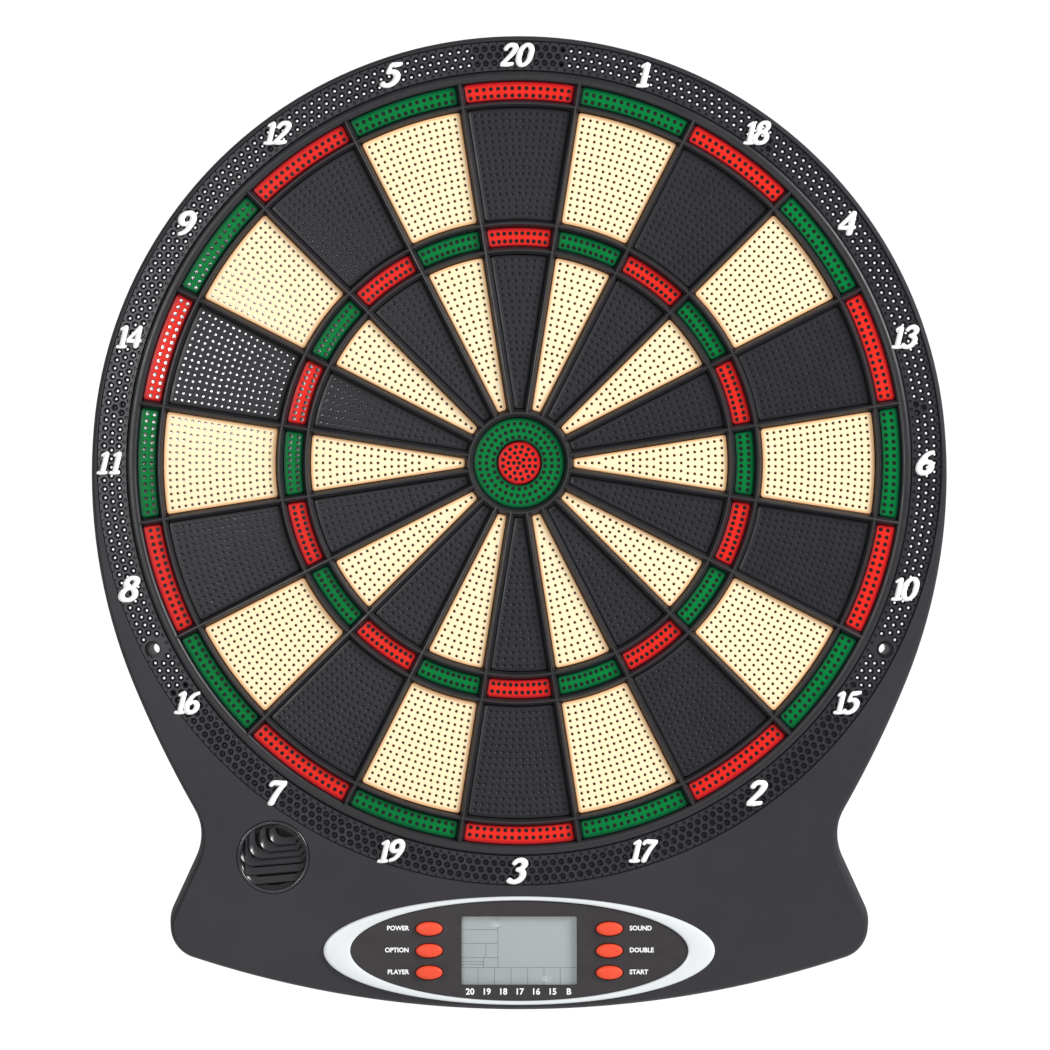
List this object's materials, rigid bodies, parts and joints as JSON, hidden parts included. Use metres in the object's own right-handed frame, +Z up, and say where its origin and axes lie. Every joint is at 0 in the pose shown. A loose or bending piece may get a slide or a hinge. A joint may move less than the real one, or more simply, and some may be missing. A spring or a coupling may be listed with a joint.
{
  "type": "electronic dartboard",
  "caption": "Wall-hung electronic dartboard with sprung perforated segments, a numbered catch ring and an oval scoring console with display and buttons.",
  "frame": {"origin": "on the wall plane, straight behind the middle of the bull", "axes": "+Z up, -Y out of the wall towards the player, +X to the player's right"},
  "size_m": [0.3904, 0.032, 0.4437],
  "materials": {
    "casing": "fine spark-eroded grain, satin black-grey ABS",
    "target_black": "moulded black polypropylene, slight sheen",
    "spider_black": "moulded black, semi-gloss",
    "cover": "fine grain black",
    "segment_black": "semi-gloss moulded nylon",
    "segment_cream": "semi-gloss moulded nylon",
    "segment_red": "semi-gloss moulded nylon",
    "segment_green": "semi-gloss moulded nylon",
    "silver": "silver-white paint on plastic",
    "panel": "smooth satin black",
    "lens": "clear hard-coated acrylic",
    "lcd": "grey-green liquid crystal display",
    "button_red": "silicone rubber, satin red-orange",
    "mat_grey": "silicone rubber keypad",
    "foam": "closed-cell foam sheet",
    "film": "polyester film with printed tracks",
    "board_green": "fibreglass circuit board, solder mask",
    "resin_black": "chip resin",
    "cable": "flat flexible cable",
    "lead_red": "insulated wire",
    "steel": "zinc-plated steel",
    "paper": "speaker cone paper",
    "ferrite": "sintered ferrite",
    "spring_nickel": "nickel-plated spring steel",
    "cell": "printed sleeve, plain",
    "number_white": "hot-stamped white foil"
  },
  "bodies": {
    "board": {"front_casing": "casing", "catch_ring": "target_black", "spider": "spider_black", "rear_cover": "cover", "backing_plate": "cover", "matrix_bottom_film": "film", "matrix_spacer": "film", "matrix_top_film": "film", "cushion_sheet": "foam", "flat_cables": "cable", "console_bezel": "silver", "console_panel": "panel", "lcd_lens": "lens", "lcd_module": "lcd", "zebra_strips": "mat_grey", "keypad_mat": "mat_grey", "main_board": "board_green", "board_parts": "resin_black", "board_screws": "steel", "speaker_grille": "casing", "speaker_cone": "paper", "speaker_basket": "steel", "speaker_magnet": "ferrite", "speaker_clamp": "cover", "speaker_screws": "steel", "speaker_leads": "lead_red", "battery_contacts": "spring_nickel", "batteries": "cell", "case_screws": "steel", "spider_screws": "steel"},
    "battery_door": {"battery_door": "cover"},
    "bull_outer": {"outer_bull": "segment_green"},
    "bull_inner": {"inner_bull": "segment_red"},
    "segments_20": {"number_20": "segment_black"},
    "segments_1": {"number_1": "segment_cream"},
    "segments_18": {"number_18": "segment_black"},
    "segments_4": {"number_4": "segment_cream"},
    "segments_13": {"number_13": "segment_black"},
    "segments_6": {"number_6": "segment_cream"},
    "segments_10": {"number_10": "segment_black"},
    "segments_15": {"number_15": "segment_cream"},
    "segments_2": {"number_2": "segment_black"},
    "segments_17": {"number_17": "segment_cream"},
    "segments_3": {"number_3": "segment_black"},
    "segments_19": {"number_19": "segment_cream"},
    "segments_7": {"number_7": "segment_black"},
    "segments_16": {"number_16": "segment_cream"},
    "segments_8": {"number_8": "segment_black"},
    "segments_11": {"number_11": "segment_cream"},
    "segments_14": {"number_14": "segment_black"},
    "segments_9": {"number_9": "segment_cream"},
    "segments_12": {"number_12": "segment_black"},
    "segments_5": {"number_5": "segment_cream"},
    "key_power": {"button_power": "button_red"},
    "key_option": {"button_option": "button_red"},
    "key_player": {"button_player": "button_red"},
    "key_sound": {"button_sound": "button_red"},
    "key_double": {"button_double": "button_red"},
    "key_start": {"button_start": "button_red"}
  },
  "joints": [
    {"name": "segments_20_press", "type": "slide", "parent": "board", "child": "segments_20", "axis": [0, 1, 0], "range_m": [0, 0.0012], "stiffness_N_per_m": 600, "springref_m": -0.0008},
    {"name": "segments_1_press", "type": "slide", "parent": "board", "child": "segments_1", "axis": [0, 1, 0], "range_m": [0, 0.0012], "stiffness_N_per_m": 600, "springref_m": -0.0008},
    {"name": "segments_18_press", "type": "slide", "parent": "board", "child": "segments_18", "axis": [0, 1, 0], "range_m": [0, 0.0012], "stiffness_N_per_m": 600, "springref_m": -0.0008},
    {"name": "segments_4_press", "type": "slide", "parent": "board", "child": "segments_4", "axis": [0, 1, 0], "range_m": [0, 0.0012], "stiffness_N_per_m": 600, "springref_m": -0.0008},
    {"name": "segments_13_press", "type": "slide", "parent": "board", "child": "segments_13", "axis": [0, 1, 0], "range_m": [0, 0.0012], "stiffness_N_per_m": 600, "springref_m": -0.0008},
    {"name": "segments_6_press", "type": "slide", "parent": "board", "child": "segments_6", "axis": [0, 1, 0], "range_m": [0, 0.0012], "stiffness_N_per_m": 600, "springref_m": -0.0008},
    {"name": "segments_10_press", "type": "slide", "parent": "board", "child": "segments_10", "axis": [0, 1, 0], "range_m": [0, 0.0012], "stiffness_N_per_m": 600, "springref_m": -0.0008},
    {"name": "segments_15_press", "type": "slide", "parent": "board", "child": "segments_15", "axis": [0, 1, 0], "range_m": [0, 0.0012], "stiffness_N_per_m": 600, "springref_m": -0.0008},
    {"name": "segments_2_press", "type": "slide", "parent": "board", "child": "segments_2", "axis": [0, 1, 0], "range_m": [0, 0.0012], "stiffness_N_per_m": 600, "springref_m": -0.0008},
    {"name": "segments_17_press", "type": "slide", "parent": "board", "child": "segments_17", "axis": [0, 1, 0], "range_m": [0, 0.0012], "stiffness_N_per_m": 600, "springref_m": -0.0008},
    {"name": "segments_3_press", "type": "slide", "parent": "board", "child": "segments_3", "axis": [0, 1, 0], "range_m": [0, 0.0012], "stiffness_N_per_m": 600, "springref_m": -0.0008},
    {"name": "segments_19_press", "type": "slide", "parent": "board", "child": "segments_19", "axis": [0, 1, 0], "range_m": [0, 0.0012], "stiffness_N_per_m": 600, "springref_m": -0.0008},
    {"name": "segments_7_press", "type": "slide", "parent": "board", "child": "segments_7", "axis": [0, 1, 0], "range_m": [0, 0.0012], "stiffness_N_per_m": 600, "springref_m": -0.0008},
    {"name": "segments_16_press", "type": "slide", "parent": "board", "child": "segments_16", "axis": [0, 1, 0], "range_m": [0, 0.0012], "stiffness_N_per_m": 600, "springref_m": -0.0008},
    {"name": "segments_8_press", "type": "slide", "parent": "board", "child": "segments_8", "axis": [0, 1, 0], "range_m": [0, 0.0012], "stiffness_N_per_m": 600, "springref_m": -0.0008},
    {"name": "segments_11_press", "type": "slide", "parent": "board", "child": "segments_11", "axis": [0, 1, 0], "range_m": [0, 0.0012], "stiffness_N_per_m": 600, "springref_m": -0.0008},
    {"name": "segments_14_press", "type": "slide", "parent": "board", "child": "segments_14", "axis": [0, 1, 0], "range_m": [0, 0.0012], "stiffness_N_per_m": 600, "springref_m": -0.0008},
    {"name": "segments_9_press", "type": "slide", "parent": "board", "child": "segments_9", "axis": [0, 1, 0], "range_m": [0, 0.0012], "stiffness_N_per_m": 600, "springref_m": -0.0008},
    {"name": "segments_12_press", "type": "slide", "parent": "board", "child": "segments_12", "axis": [0, 1, 0], "range_m": [0, 0.0012], "stiffness_N_per_m": 600, "springref_m": -0.0008},
    {"name": "segments_5_press", "type": "slide", "parent": "board", "child": "segments_5", "axis": [0, 1, 0], "range_m": [0, 0.0012], "stiffness_N_per_m": 600, "springref_m": -0.0008},
    {"name": "bull_outer_press", "type": "slide", "parent": "board", "child": "bull_outer", "axis": [0, 1, 0], "range_m": [0, 0.0012], "stiffness_N_per_m": 400, "springref_m": -0.0008},
    {"name": "bull_inner_press", "type": "slide", "parent": "board", "child": "bull_inner", "axis": [0, 1, 0], "range_m": [0, 0.0012], "stiffness_N_per_m": 300, "springref_m": -0.0008},
    {"name": "key_power_press", "type": "slide", "parent": "board", "child": "key_power", "axis": [0, 1, 0], "range_m": [0, 0.001], "stiffness_N_per_m": 250, "springref_m": -0.0006},
    {"name": "key_option_press", "type": "slide", "parent": "board", "child": "key_option", "axis": [0, 1, 0], "range_m": [0, 0.001], "stiffness_N_per_m": 250, "springref_m": -0.0006},
    {"name": "key_player_press", "type": "slide", "parent": "board", "child": "key_player", "axis": [0, 1, 0], "range_m": [0, 0.001], "stiffness_N_per_m": 250, "springref_m": -0.0006},
    {"name": "key_sound_press", "type": "slide", "parent": "board", "child": "key_sound", "axis": [0, 1, 0], "range_m": [0, 0.001], "stiffness_N_per_m": 250, "springref_m": -0.0006},
    {"name": "key_double_press", "type": "slide", "parent": "board", "child": "key_double", "axis": [0, 1, 0], "range_m": [0, 0.001], "stiffness_N_per_m": 250, "springref_m": -0.0006},
    {"name": "key_start_press", "type": "slide", "parent": "board", "child": "key_start", "axis": [0, 1, 0], "range_m": [0, 0.001], "stiffness_N_per_m": 250, "springref_m": -0.0006},
    {"name": "battery_door_hinge", "type": "hinge", "parent": "board", "child": "battery_door", "pos_m": [0, -0.0011, -0.2339], "axis": [-1, 0, 0], "range_deg": [0, 90]}
  ]
}
